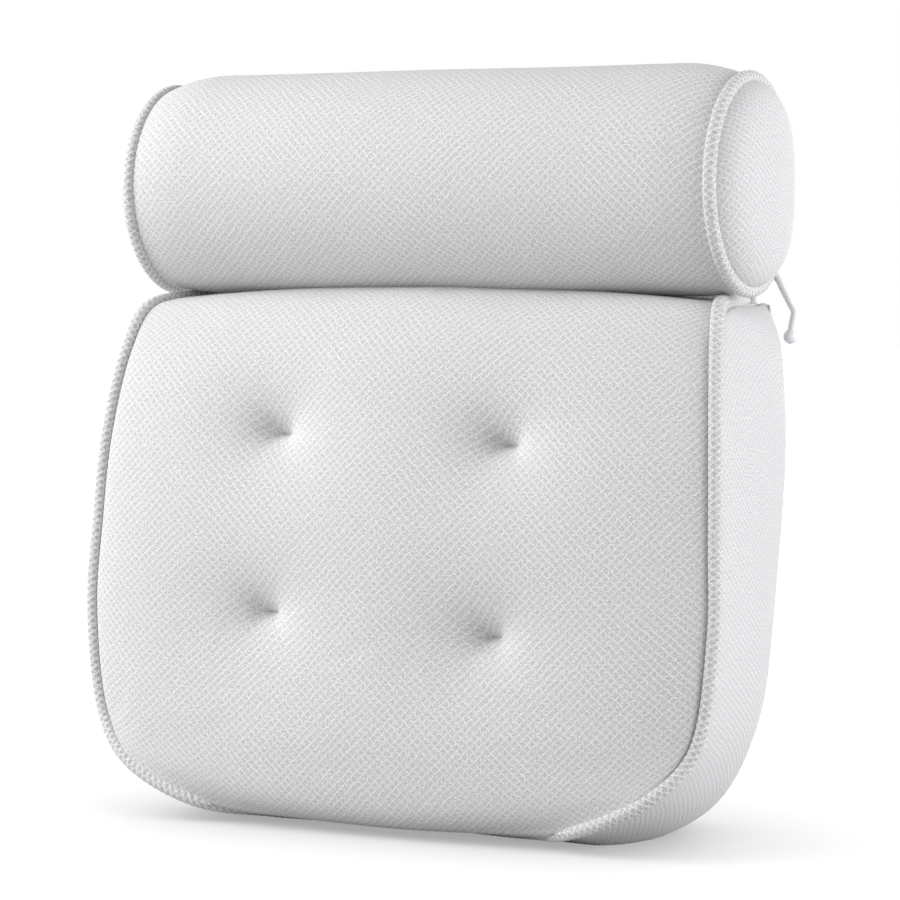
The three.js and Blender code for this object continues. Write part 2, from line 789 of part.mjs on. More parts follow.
addPiece('pad_front_panel', clothWall(frontGrid, frontInner), 'mesh');
addPiece('pad_gusset', gussetGeometry(), 'mesh');
addPiece('pad_back_panel', backPanelGeometry(), 'mesh');
addPiece('pad_piping', tubeAlong(seam, pipingRadius, 76, 8), 'piping');
addPiece('pad_fill', padFillGeometry(), 'stuffing');
tuftPlaces.forEach((place, i) => addPiece(`tuft_tie_${i + 1}`, tieGeometry(place), 'thread'));

addPiece('roll_cover', sleeveGeometry(), 'mesh');
[['left', -1], ['right', 1]].forEach(([name, side]) => {
  addPiece(`roll_end_${name}`, discGeometry(side), 'mesh');
  addPiece(`roll_piping_${name}`, rollPipingGeometry(side), 'piping');
});
addPiece('roll_fill', rollFillGeometry(), 'stuffing');

addPiece('hinge_strip_lower', lowerStripGeometry(), 'mesh');
addPiece('hinge_strip_upper', upperStripGeometry(), 'mesh');

padCupPlaces.forEach(([x, z], i) => {
  addPiece(`cup_patch_${i + 1}`, patchGeometry(x, z, backDepth + sewnGap, padPatchFace), 'vinyl');
  addPiece(`suction_cup_${i + 1}`, cupGeometry(x, z, backFace - sewnGap, padPatchFace), 'vinyl');
});
rollCupPlaces.forEach((x, i) => {
  const number = padCupPlaces.length + i + 1;
  addPiece(`cup_patch_${number}`, rollPatchGeometry(x), 'vinyl');
  addPiece(`suction_cup_${number}`, cupGeometry(x, rollAxis, rollGrip, rollPatchFace), 'vinyl');
});

addPiece('hook_webbing', webbingGeometry(), 'webbing');
addPiece('hook', hookGeometry(), 'plastic');

export default pillow;
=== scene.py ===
import math
import bpy
import bmesh
import numpy as np
from mathutils import Matrix, Vector


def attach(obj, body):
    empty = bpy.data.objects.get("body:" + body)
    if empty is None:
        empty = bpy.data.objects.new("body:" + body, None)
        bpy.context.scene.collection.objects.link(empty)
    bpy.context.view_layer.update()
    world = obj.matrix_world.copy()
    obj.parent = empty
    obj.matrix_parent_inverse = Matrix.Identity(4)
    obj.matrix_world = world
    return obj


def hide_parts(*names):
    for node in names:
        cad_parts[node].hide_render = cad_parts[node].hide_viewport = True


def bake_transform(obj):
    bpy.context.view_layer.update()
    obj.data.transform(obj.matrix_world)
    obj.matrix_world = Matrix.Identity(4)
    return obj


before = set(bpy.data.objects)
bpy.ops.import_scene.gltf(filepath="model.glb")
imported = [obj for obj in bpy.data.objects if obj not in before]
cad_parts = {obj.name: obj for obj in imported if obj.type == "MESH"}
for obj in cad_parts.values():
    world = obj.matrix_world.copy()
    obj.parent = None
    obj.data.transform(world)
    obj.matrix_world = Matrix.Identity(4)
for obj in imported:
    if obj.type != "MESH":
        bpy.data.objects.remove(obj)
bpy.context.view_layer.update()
scene = bpy.context.scene
mm = 0.001
print("frame loaded")


# small helpers

def linear(hexColour):
    values = [int(hexColour[i:i + 2], 16) / 255 for i in (1, 3, 5)]
    return [v / 12.92 if v <= 0.04045 else ((v + 0.055) / 1.055) ** 2.4 for v in values] + [1]


def addNode(tree, kind, settings=None, inputs=None):
    # a node given as an input stands for its first output
    node = tree.nodes.new(kind)
    for key, value in (settings or {}).items():
        setattr(node, key, value)
    for key, value in (inputs or {}).items():
        if isinstance(value, bpy.types.Node):
            value = value.outputs[0]
        if isinstance(value, bpy.types.NodeSocket):
            tree.links.new(value, node.inputs[key])
        else:
            node.inputs[key].default_value = value
    return node


def newMaterial(name):
    material = bpy.data.materials.new(name)
    material.use_nodes = True
    return material, material.node_tree, material.node_tree.nodes["Principled BSDF"]


def dimmed(colour, share):
    return [c * share for c in linear(colour)[:3]] + [1]


def toObject(bm, name, material, smooth=True):
    mesh = bpy.data.meshes.new(name)
    bm.to_mesh(mesh)
    bm.free()
    piece = bpy.data.objects.new(name, mesh)
    scene.collection.objects.link(piece)
    mesh.materials.append(material)
    for face in mesh.polygons:
        face.use_smooth = smooth
    return piece


def curveAt(points, t):
    # centripetal spline through the points, t from 0 to 1
    points = np.asarray(points, float)
    last = len(points) - 1
    ends = np.vstack([2 * points[0] - points[1], points, 2 * points[-1] - points[-2]])
    place = np.clip(np.asarray(t, float) * last, 0, last)
    i = np.minimum(place.astype(int), last - 1)
    w = (place - i)[..., None]
    p0, p1, p2, p3 = (ends[i + k] for k in range(4))
    gap = lambda a, b: np.maximum(np.linalg.norm(b - a, axis=-1, keepdims=True) ** 0.5, 1e-6)
    d0, d1, d2 = gap(p0, p1), gap(p1, p2), gap(p2, p3)
    m1 = ((p1 - p0) / d0 - (p2 - p0) / (d0 + d1) + (p2 - p1) / d1) * d1
    m2 = ((p2 - p1) / d1 - (p3 - p1) / (d1 + d2) + (p3 - p2) / d2) * d1
    return p1 + m1 * w + (3 * (p2 - p1) - 2 * m1 - m2) * w ** 2 + (2 * (p1 - p2) + m1 + m2) * w ** 3


def unit(vectors):
    return vectors / np.maximum(np.linalg.norm(vectors, axis=-1, keepdims=True), 1e-12)


def clothGrid(name, points, flat, material, wrap=False):
    # a grid laid on points[row, column], with its flat cut in metres as the UV map
    rows, columns = points.shape[0] - 1, points.shape[1] - 1
    bm = bmesh.new()
    bmesh.ops.create_grid(bm, x_segments=columns, y_segments=rows, size=1)
    cloth = bm.loops.layers.uv.new("cloth")
    for vert in bm.verts:
        i = round((vert.co.x + 1) / 2 * columns)
        j = round((vert.co.y + 1) / 2 * rows)
        vert.co = points[j, i] * mm
        for loop in vert.link_loops:
            loop[cloth].uv = flat[j, i] * mm
    if wrap:
        bmesh.ops.remove_doubles(bm, verts=bm.verts, dist=1e-6)
    return toObject(bm, name, material)


def alongLength(points):
    steps = np.linalg.norm(np.diff(points, axis=0), axis=-1)
    return np.concatenate([np.zeros((1,) + steps.shape[1:]), np.cumsum(steps, axis=0)])


# materials

# traits that all three knits share: sizes in millimetres, levels from 0 to 1
knit = {
    "driftSize": 8,
    "leanSize": 70,
    "leanSpan": (0.35, 0.65),
    "risingShare": (1.0, 0.7),
    "fallingShare": (0.5, 0.95),
    "sharpness": 4.4,
    "crossing": 0.15,
    "fuzzSize": 0.9,
    "fray": (2.4, -0.2),
    "ground": 0.3,
    "relief": 0.55,
}


def spacerMesh(name, yarn, hollowShade, cell, tilt, depth, stray, netShare, fuzzShare):
    # polyester spacer knit: thin matte yarns crossing in diamonds over a fuzzy core; the low places between
    # the yarns are painted darker, as the shade in the knit's hollows
    material, tree, shader = newMaterial(name)
    cloth = addNode(tree, "ShaderNodeUVMap", {"uv_map": "cloth"})
    drift = addNode(tree, "ShaderNodeTexNoise", None,
                    {"Vector": cloth, "Scale": 1 / (knit["driftSize"] * mm),
                     "Detail": 4.0, "Roughness": 0.62})
    shift = addNode(tree, "ShaderNodeVectorMath", {"operation": "MULTIPLY_ADD"},
                    {0: drift.outputs["Color"], 1: (stray * mm,) * 3, 2: cloth})
    turned = addNode(tree, "ShaderNodeMapping", None,
                     {"Vector": shift, "Rotation": (0, 0, math.radians(tilt))})
    parts = addNode(tree, "ShaderNodeSeparateXYZ", None, {0: turned})
    across, along = (addNode(tree, "ShaderNodeMath", {"operation": "MULTIPLY"},
                             {0: part, 1: 2 * math.pi / (size * mm)})
                     for part, size in zip(parts.outputs, cell))
    # each slant of yarn is stronger in some places than in others
    lean = addNode(tree, "ShaderNodeTexNoise", None,
                   {"Vector": cloth, "Scale": 1 / (knit["leanSize"] * mm), "Detail": 1.0})
    strands = []
    for operation, share in (("SUBTRACT", knit["risingShare"]), ("ADD", knit["fallingShare"])):
        phase = addNode(tree, "ShaderNodeMath", {"operation": operation}, {0: across, 1: along})
        wave = addNode(tree, "ShaderNodeMath", {"operation": "COSINE"}, {0: phase})
        lifted = addNode(tree, "ShaderNodeMath", {"operation": "MULTIPLY_ADD"}, {0: wave, 1: 0.5, 2: 0.5})
        sharp = addNode(tree, "ShaderNodeMath", {"operation": "POWER"}, {0: lifted, 1: knit["sharpness"]})
        weight = addNode(tree, "ShaderNodeMapRange", None, dict(enumerate((lean, *knit["leanSpan"], *share))))
        strands.append(addNode(tree, "ShaderNodeMath", {"operation": "MULTIPLY"}, {0: sharp, 1: weight}))
    net = addNode(tree, "ShaderNodeMath", {"operation": "SMOOTH_MAX"},
                  {0: strands[0], 1: strands[1], 2: knit["crossing"]})
    fuzz = addNode(tree, "ShaderNodeTexNoise", None,
                   {"Vector": cloth, "Scale": 1 / (knit["fuzzSize"] * mm), "Detail": 3.0, "Roughness": 0.75})
    fray = addNode(tree, "ShaderNodeMath", {"operation": "MULTIPLY_ADD"},
                   dict(enumerate((fuzz, *knit["fray"]))))
    frayed = addNode(tree, "ShaderNodeMath", {"operation": "MULTIPLY"}, {0: net, 1: fray})
    core = addNode(tree, "ShaderNodeMath", {"operation": "MULTIPLY_ADD"},
                   {0: fuzz, 1: fuzzShare, 2: knit["ground"] - 0.5 * fuzzShare})
    height = addNode(tree, "ShaderNodeMath", {"operation": "MULTIPLY_ADD"}, {0: frayed, 1: netShare, 2: core})
    # painted shade: the colour runs from the hollows' shade at the low places to the yarn's white on the
    # raised strands
    tone = addNode(tree, "ShaderNodeValToRGB", None, {0: height})
    tone.color_ramp.elements[0].color = linear(hollowShade)
    tone.color_ramp.elements[1].color = linear(yarn)
    bump = addNode(tree, "ShaderNodeBump", None,
                   {"Strength": knit["relief"], "Distance": depth * mm, "Height": height})
    tree.links.new(tone.outputs[0], shader.inputs["Base Color"])
    tree.links.new(bump.outputs[0], shader.inputs["Normal"])
    shader.inputs["Roughness"].default_value = 0.9
    shader.inputs["Specular IOR Level"].default_value = 0.2
    shader.inputs["Sheen Weight"].default_value = 0.04
    shader.inputs["Sheen Roughness"].default_value = 0.6
    return material


# each knit's second colour is the painted shade in its hollows
knitPanel = spacerMesh("spacer mesh, panels", "#FAFAFA", "#BDBDBD", cell=(4.6, 4.5), tilt=0, depth=0.6,
                       stray=2.6, netShare=0.5, fuzzShare=2.6)
knitSide = spacerMesh("spacer mesh, sides", "#F3F3F5", "#BEBEC1", cell=(3.8, 3.8), tilt=14, depth=0.5,
                      stray=2.2, netShare=0.5, fuzzShare=2.6)
knitPiping = spacerMesh("spacer mesh, piping", "#FAFAFA", "#ADADAD", cell=(5.03, 3.5), tilt=0, depth=0.9,
                        stray=1.3, netShare=0.7, fuzzShare=2.0)


# injection-moulded plastic: even colour, faint flow mottling, softly uneven gloss
plastic = {"mottle": 0.94, "glossier": 0.06, "duller": 0.08, "dents": 0.08, "dentDepth": 0.2}


def moulded(name, colour, roughness, grain, see, ior):
    material, tree, shader = newMaterial(name)
    spot = addNode(tree, "ShaderNodeTexCoord")
    flow = addNode(tree, "ShaderNodeTexNoise", None,
                   {"Vector": spot.outputs["Object"], "Scale": 1 / (grain * mm), "Detail": 3.0})
    tone = addNode(tree, "ShaderNodeValToRGB", None, {0: flow})
    tone.color_ramp.elements[0].color = dimmed(colour, plastic["mottle"])
    tone.color_ramp.elements[1].color = linear(colour)
    gloss = addNode(tree, "ShaderNodeMapRange", None,
                    {0: flow, 3: roughness - plastic["glossier"], 4: roughness + plastic["duller"]})
    dents = addNode(tree, "ShaderNodeBump", None,
                    {"Strength": plastic["dents"], "Distance": plastic["dentDepth"] * mm, "Height": flow})
    tree.links.new(tone.outputs[0], shader.inputs["Base Color"])
    tree.links.new(gloss.outputs[0], shader.inputs["Roughness"])
    tree.links.new(dents.outputs[0], shader.inputs["Normal"])
    shader.inputs["IOR"].default_value = ior
    shader.inputs["Transmission Weight"].default_value = see
    return material


nylon = moulded("moulded nylon, hook", "#ECECEF", roughness=0.42, grain=6, see=0.0, ior=1.53)
softVinyl = moulded("soft vinyl, cups", "#EEF2F4", roughness=0.22, grain=9, see=0.45, ior=1.52)
patchVinyl = moulded("soft vinyl, eyelets", "#E9ECEE", roughness=0.34, grain=7, see=0.0, ior=1.52)


# woven polyester: fine ribs across, satin thread; the grooves between the ribs are painted darker as shade
weave = {"shade": 0.8, "waver": 0.6, "relief": 0.5, "depth": 0.2}


def wovenTape(name, colour, rib):
    material, tree, shader = newMaterial(name)
    spot = addNode(tree, "ShaderNodeTexCoord")
    ribs = addNode(tree, "ShaderNodeTexWave", {"bands_direction": "X"},
                   {"Vector": spot.outputs["Object"], "Scale": 1 / (math.pi * rib * mm),
                    "Distortion": weave["waver"], "Detail": 1.0})
    # painted shade: the ribs' grooves take the darker colour
    tone = addNode(tree, "ShaderNodeValToRGB", None, {0: ribs})
    tone.color_ramp.elements[0].color = dimmed(colour, weave["shade"])
    tone.color_ramp.elements[1].color = linear(colour)
    relief = addNode(tree, "ShaderNodeBump", None,
                     {"Strength": weave["relief"], "Distance": weave["depth"] * mm, "Height": ribs})
    tree.links.new(tone.outputs[0], shader.inputs["Base Color"])
    tree.links.new(relief.outputs[0], shader.inputs["Normal"])
    shader.inputs["Roughness"].default_value = 0.75
    return material


tape = wovenTape("woven polyester tape", "#F1F1EF", 0.8)
thread = wovenTape("polyester sewing thread", "#F3F3F1", 0.5)
print("materials made")


# head roll, in millimetres; the pad's top follows it
roll = {
    "axis": 315,
    "radius": 55.5,
    "flatness": 0.9495,
    "half": 159,
    "ring": 50.4,
    "ringDrop": 2.2,
    "shoulder": 32,
    "bulge": 14.4,
    "domeEdge": (5, 0.6),
    "tilt": 5,
    "tiltNarrowness": 6,
    "start": 0.57 - math.pi,
    "around": 160,
    "along": 130,
    "sleeveInset": 1.2,
    "sleeveOverRing": 0.6,
    "discInset": 1.5,
    "discAround": 96,
    "discRings": 30,
    "ringSteps": 460,
    "uneven": 0.5,
    "unevenSpan": 70,
    "unevenTurn": 0.6,
    "unevenRear": 0.6,
    "seed": 8,
}


# pad: its seam and its back edge run from the hinge to the foot on the right, and are then mirrored
pad = {
    "seam": [(138, 43, 256.4), (148, -5, 257.8), (157.5, -34, 252.5), (161.8, -46, 232), (166.5, -57, 190),
             (168.8, -62.2, 146.5), (170, -66, 103), (161.5, -69, 50), (143, -77, 29), (104, -76, 11),
             (72, -57, 5.5)],
    "foot": (0, -50, 5.5),
    "back": 46,
    "backEdge": [(149.4, 254.6), (154, 232), (154, 204), (153.5, 180), (152, 156), (149.5, 132),
                 (146.4, 106), (140, 65), (122.5, 28), (89, 12), (56, 9.5)],
    "backFoot": 9,
    "piping": 3.2,
    "tuck": 2.2,
    "underRoll": 0.6,
    "backTuck": 1.4,
    "wall": 1.2,
}
flip = np.array([-1, 1, 1])
rightSeam = np.array(pad["seam"], float)
seamPoints = np.vstack([rightSeam, [pad["foot"]], rightSeam[::-1] * flip])
footShare = (len(rightSeam) - 1) / (len(seamPoints) - 1)
rightBack = np.array([(x, pad["back"], z) for x, z in pad["backEdge"]], float)
backPoints = np.vstack([rightBack, [(0, pad["back"], pad["backFoot"])], rightBack[::-1] * flip])


def seamTangent(t):
    return unit(curveAt(seamPoints, np.clip(t + 1e-4, 0, 1)) - curveAt(seamPoints, np.clip(t - 1e-4, 0, 1)))


def besideSeam(t, direction, distance):
    tangent = seamTangent(t)
    away = unit(direction - (direction * tangent).sum(-1, keepdims=True) * tangent)
    return curveAt(seamPoints, t) + away * distance


def evenPlaces(start, end, count):
    dense = np.linspace(start, end, 3000)
    run = alongLength(curveAt(seamPoints, dense))
    return np.interp(np.linspace(0, run[-1], count), run, dense)


# slow unevenness of stuffed cloth; wave lengths in millimetres as a first one and a step
lumps = {"waves": 6, "across": (17, 6), "up": (14, 7), "turn": 6.28}


def soften(points, size, seed):
    turn = np.random.default_rng(seed).uniform(0, lumps["turn"], (lumps["waves"], 2))
    x, z = points[..., 0], points[..., 2]
    total = 0
    for k, (turnX, turnZ) in enumerate(turn):
        lengthX, lengthZ = (first + step * k for first, step in (lumps["across"], lumps["up"]))
        total = total + np.sin(x / lengthX + turnX) * np.sin(z / lengthZ + turnZ)
    return size * total / (lumps["waves"] / 2)


def inflate(piece, held, free, pressure, cap, frames=20):
    # cloth simulation: held points stay, the rest swells under pressure by its free share, up to the cap
    start = np.array([v.co for v in piece.data.vertices])
    group = piece.vertex_groups.new(name="held")
    for i in np.flatnonzero(held):
        group.add([int(i)], 1.0, "REPLACE")
    cloth = piece.modifiers.new("cloth", "CLOTH")
    cloth.settings.quality = 6
    cloth.settings.mass = 0.25
    cloth.settings.tension_stiffness = 18
    cloth.settings.compression_stiffness = 18
    cloth.settings.shear_stiffness = 8
    cloth.settings.bending_stiffness = 0.8
    cloth.settings.vertex_group_mass = "held"
    cloth.settings.use_pressure = True
    cloth.settings.uniform_pressure_force = pressure
    cloth.settings.effector_weights.gravity = 0
    cloth.collision_settings.use_collision = False
    cloth.collision_settings.use_self_collision = False
    cloth.point_cache.frame_start = 1
    cloth.point_cache.frame_end = frames
    for number in range(1, frames + 1):
        scene.frame_set(number)
    solved = piece.evaluated_get(bpy.context.evaluated_depsgraph_get()).to_mesh()
    end = np.array([v.co for v in solved.vertices])
    piece.evaluated_get(bpy.context.evaluated_depsgraph_get()).to_mesh_clear()
    piece.modifiers.remove(cloth)
    piece.vertex_groups.remove(group)
    scene.frame_set(1)
    move = (end - start) * free[:, None]
    length = np.linalg.norm(move, axis=1, keepdims=True)
    limited = cap * mm * np.tanh(length / (cap * mm)) / np.maximum(length, 1e-12)
    piece.data.vertices.foreach_set("co", (start + move * limited).ravel())
    piece.data.update()
    print(piece.name, "swelled by at most", round(float((length * limited).max()) * 1000, 2), "mm")


def giveWall(piece):
    # cloth has a thickness, on its inner side
    wall = piece.modifiers.new("wall", "SOLIDIFY")
    wall.thickness = pad["wall"] * mm
    wall.offset = -1


# front panel, tufted; its middle runs from the hinge over the top, down the front and under the foot
front = {
    "columns": 150,
    "rows": 150,
    "middle": [(42.6, 256.5), (-2, 259), (-33.5, 262.3), (-59, 233), (-74, 190), (-82, 144), (-85.5, 95),
               (-86.8, 38), (-82, 12), (-70, 4.2), (-54, 4.2)],
    "fullness": (0.5, 0.9),
    "topFullness": 0.42,
    "topPart": 2.6,
    "footFullness": 0.3,
    "footTurn": (0.88, 0.94),
    "footOverlap": 1.5,
    "footLean": 0.3,
    "tufts": [(58, 98.5, 15), (60, 194.5, 18), (-64.5, 105.5, 15), (-65, 197, 18)],
    "tuftSide": -23,
    "tuftReach": 22,
    "drawnIn": 5,
    "drawReach": 11,
    "drawCore": 2,
    "barHalf": 2.6,
    "pinchDepth": 4,
    "pinchReach": 4,
    "uneven": 0.5,
    "seed": 3,
    "floorGap": 0.4,
    "turnOver": 3.5,
    "settled": (8, 50),
    "heldPull": 0.75,
    "pressure": 3.0,
    "cap": 4,
}


def panelEdge(t):
    nearFoot = (t / footShare) ** 4
    direction = np.stack([nearFoot - 1, -nearFoot, front["footLean"] * nearFoot], -1)
    return besideSeam(t, direction, (pad["tuck"] + front["footOverlap"] * nearFoot)[:, None])


def underRoll(y):
    # height of the roll's underside over the pad's top
    share = np.clip(y / (roll["radius"] * roll["flatness"]), -1, 1)
    return roll["axis"] - roll["radius"] * np.sqrt(1 - share ** 2) - pad["underRoll"]


def frontPoints():
    t = evenPlaces(0, footShare, front["rows"] + 1)[::-1]
    edge = panelEdge(t)
    middle = curveAt(front["middle"], t / footShare)
    slope = np.gradient(middle, axis=0)
    normal = unit(np.stack([np.zeros(len(t)), -slope[:, 1], slope[:, 0]], -1))
    u = np.linspace(-1, 1, front["columns"] + 1)
    half = front["columns"] // 2
    # each row swells from edge to middle, with its own fullness forward and upward
    forward, upward = front["fullness"]
    belowTop = np.clip(t / footShare * front["topPart"], 0, 1)
    turnStart, turnEnd = front["footTurn"]
    atFoot = np.clip((t / footShare - turnStart) / (turnEnd - turnStart), 0, 1)
    rising = (front["topFullness"] + (upward - front["topFullness"]) * belowTop
              + (front["footFullness"] - upward) * atFoot)
    power = np.stack([np.full(len(t), forward), rising], -1)
    swell = np.maximum(0, 1 - u[:, None] ** 2) ** power[:, None]
    x = edge[:, 0, None] * u
    rise = edge[:, None, 1:] + (middle - edge[:, 1:])[:, None] * swell
    puffed = np.concatenate([x[..., None], rise], -1)
    run = alongLength(puffed[:, half])
    flat = np.stack([alongLength(puffed.transpose(1, 0, 2)).T, np.broadcast_to(run[:, None], x.shape)], -1)
    flat[..., 0] -= flat[:, half, None, 0]
    # tufts: the cloth sinks to a short bar tack, and its knit is drawn in towards it
    pull = np.zeros(x.shape)
    inFront = (edge[:, 1] < front["tuftSide"])[:, None]
    pits = []
    for tuftX, tuftZ, depth in front["tufts"]:
        missed = np.where(inFront, np.hypot(x - tuftX, puffed[..., 2] - tuftZ), np.inf)
        pits.append(np.unravel_index(np.argmin(missed), missed.shape))
        aside = (puffed - puffed[pits[-1]])[..., [0, 2]]
        apart = np.linalg.norm(aside, axis=-1, keepdims=True)
        drawn = front["drawnIn"] * np.exp(-apart / front["drawReach"]) / np.hypot(apart, front["drawCore"])
        flat += drawn * aside * inFront[..., None]
        r = np.hypot(np.maximum(0, np.abs(aside[..., 0]) - front["barHalf"]), aside[..., 1])
        pinch = front["pinchDepth"] * np.exp(-r / front["pinchReach"])
        pull += depth * np.exp(-r / front["tuftReach"]) + pinch
    points = puffed - normal[:, None] * (pull * inFront)[..., None]
    points += normal[:, None] * (soften(points, front["uneven"], front["seed"]) * swell[..., 0])[..., None]
    points[..., 2] = np.clip(points[..., 2], front["floorGap"], underRoll(points[..., 1]))
    # a last row turns over the top to the back panel
    topX, topZ = pad["backEdge"][0]
    over = np.stack([u * topX, np.full(len(u), pad["back"] - pad["backTuck"]), np.full(len(u), topZ)], -1)
    points = np.concatenate([points, over[None]])
    flat = np.concatenate([flat, flat[-1:] + np.array([0, front["turnOver"]])])
    return points, flat, np.concatenate([pull, pull[-1:]]), pits


points, flat, pull, pits = frontPoints()
frontPanel = clothGrid("pad_front_panel_cloth", points, flat, knitPanel)
rim = np.ones(pull.shape, bool)
rim[1:-1, 1:-1] = False
held = rim | (pull > front["heldPull"] * pull.max())
settleLow, settleHigh = front["settled"]
free = np.clip((points[..., 2] - settleLow) / (settleHigh - settleLow), 0, 1) ** 2
inflate(frontPanel, held.ravel(), free.ravel(), front["pressure"], front["cap"])
giveWall(frontPanel)
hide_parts("pad_front_panel", "pad_fill")
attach(frontPanel, "pad")
print("front panel made")


# sewing thread: stitches are small spindles half sunk in the cloth
def addStitches(bm, places, directions, length, thickness):
    for place, direction in zip(places, directions):
        turn = Vector(direction).to_track_quat("X", "Z").to_matrix().to_4x4()
        size = Matrix.Diagonal((length / 2, thickness / 2, thickness / 2, 1))
        spot = Matrix.Translation(Vector(place) * mm)
        bmesh.ops.create_uvsphere(bm, u_segments=8, v_segments=6, radius=mm, matrix=spot @ turn @ size)


# bar tacks that draw the tufts in
tack = {"strands": 4, "spacing": 0.6, "length": 6.4, "thickness": 0.75, "sink": 1.2, "arch": 0.2}
sewn = np.array([v.co for v in frontPanel.data.vertices]).reshape(points.shape) / mm
lifts = (np.arange(tack["strands"]) - (tack["strands"] - 1) / 2) * tack["spacing"]
bm = bmesh.new()
for pit in pits:
    seats = [sewn[pit] + np.array([0, tack["sink"] - tack["arch"] * abs(lift), lift]) for lift in lifts]
    addStitches(bm, seats, [(1, 0, 0)] * len(seats), tack["length"], tack["thickness"])
tacks = toObject(bm, "tuft_bar_tacks", thread)
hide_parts("tuft_tie_1", "tuft_tie_2", "tuft_tie_3", "tuft_tie_4")
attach(tacks, "pad")
print("tufts tacked")


# gusset round the sides and under the foot
gusset = {
    "columns": 48,
    "rows": 300,
    "crowd": 1.5,
    "welt": 0.9,
    "weltPlace": 4.6,
    "weltSpread": 1.6,
    "sideSwell": 0.07,
    "footSwell": 0.22,
    "topSwell": 0.12,
    "topFrom": 225,
    "topSpan": 30,
    "front": 0.38,
    "backRound": 0.18,
    "lean": 0.045,
    "dipPart": 12,
}


def outward(t):
    tangent = seamTangent(t)
    direction = np.stack([-tangent[:, 2], np.zeros(len(t)), tangent[:, 0]], -1)
    length = np.linalg.norm(direction, axis=-1)
    direction[:, 0] += np.sign(curveAt(seamPoints, t)[:, 0]) * (1 - length)
    return unit(direction)


def gussetPoints():
    t = evenPlaces(0, 1, gusset["rows"] + 1)
    rear = curveAt(backPoints, t)
    span = rear - curveAt(seamPoints, t)
    reach = np.linalg.norm(span, axis=-1, keepdims=True)
    out = outward(t)
    start = besideSeam(t, span, pad["tuck"])
    downward = np.maximum(0, -out[:, 2:3])
    swell = reach * (gusset["sideSwell"] + (gusset["footSwell"] - gusset["sideSwell"]) * downward)
    nearTop = np.clip((start[:, 2:3] - gusset["topFrom"]) / gusset["topSpan"], 0, 1)
    shoulder = nearTop * reach * gusset["topSwell"] * np.array([0, 0, 1])
    near = start + span * gusset["front"] + out * swell + shoulder
    far = rear + out * reach * gusset["backRound"] - np.array([0, 1, 0]) * reach * gusset["lean"]
    s = np.linspace(0, 1, gusset["columns"] + 1)[None, :, None] ** gusset["crowd"]
    points = ((1 - s) ** 3 * start[:, None] + 3 * s * (1 - s) ** 2 * near[:, None]
              + 3 * s ** 2 * (1 - s) * far[:, None] + s ** 3 * rear[:, None])
    across = alongLength(points.transpose(1, 0, 2)).T
    # the folded seam allowance shows as a low welt beside the piping
    face = unit(np.cross(np.gradient(points, axis=1), np.gradient(points, axis=0)))
    welt = gusset["welt"] * np.exp(-(across - gusset["weltPlace"]) ** 2 / gusset["weltSpread"])
    points += face * welt[..., None]
    # the rear edge dips into its seam
    dip = np.clip(across / across[:, -1:] * gusset["dipPart"] - gusset["dipPart"] + 1, 0, 1)
    points[..., 1] -= pad["backTuck"] * dip ** 2
    points[..., 2] = np.maximum(points[..., 2], 0)
    along = alongLength(points[:, gusset["columns"] // 2])
    return points, np.stack([across, np.broadcast_to(along[:, None], across.shape)], -1)


points, flat = gussetPoints()
gussetCloth = clothGrid("pad_gusset_cloth", points[:, ::-1], flat[:, ::-1], knitSide)
giveWall(gussetCloth)
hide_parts("pad_gusset")
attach(gussetCloth, "pad")
print("gusset made")


# back panel
back = {
    "rings": 44,
    "around": 300,
    "middle": 140,
    "crown": 2.6,
    "eyelets": [(-88, 82), (88, 82), (-88, 192), (88, 192)],
    "eyeletFlat": 14,
    "eyeletReach": 26,
    "stripLine": 244,
    "stripFade": 40,
    "pucker": 0.35,
    "puckerPitch": 3.1,
    "puckerDrift": 37,
    "puckerFade": 14,
    "dipPart": 10,
}


def backPanelPoints():
    edge = curveAt(backPoints, np.linspace(0, 1, back["around"] + 1))
    edge = np.vstack([edge, edge[:1]])
    middle = np.array([0, pad["back"], back["middle"]])
    s = np.linspace(0, 1, back["rings"] + 1)[:, None]
    points = middle + (edge - middle)[None] * s[..., None]
    x, z = points[..., 0], points[..., 2]
    free = np.clip((back["stripLine"] - z) / back["stripFade"], 0, 1) * (1 - s ** 4)
    for eyeletX, eyeletZ in back["eyelets"]:
        beyond = np.maximum(0, np.hypot(x - eyeletX, z - eyeletZ) - back["eyeletFlat"])
        free *= 1 - np.exp(-beyond ** 2 / back["eyeletReach"] ** 2)
    run = np.append(alongLength(edge[:-1]), 0)
    folds = np.sin(run / back["puckerPitch"] + 2 * np.sin(run / back["puckerDrift"]))
    pucker = back["pucker"] * folds * np.exp(-(1 - s) * back["puckerFade"]) * (s < 1)
    seamDip = pad["backTuck"] * np.maximum(0, s * back["dipPart"] - back["dipPart"] + 1) ** 2
    points[..., 1] = pad["back"] + back["crown"] * free + pucker - seamDip
    return points, points[..., [0, 2]]


points, flat = backPanelPoints()
backPanel = clothGrid("pad_back_panel_cloth", points, flat, knitSide, wrap=True)
giveWall(backPanel)
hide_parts("pad_back_panel")
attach(backPanel, "pad")


# piping: mesh-covered cord with a braided look
cordOfPiping = {"pitch": 3.5, "relief": 0.12, "slant": 2.2, "around": 18, "steps": 1500}


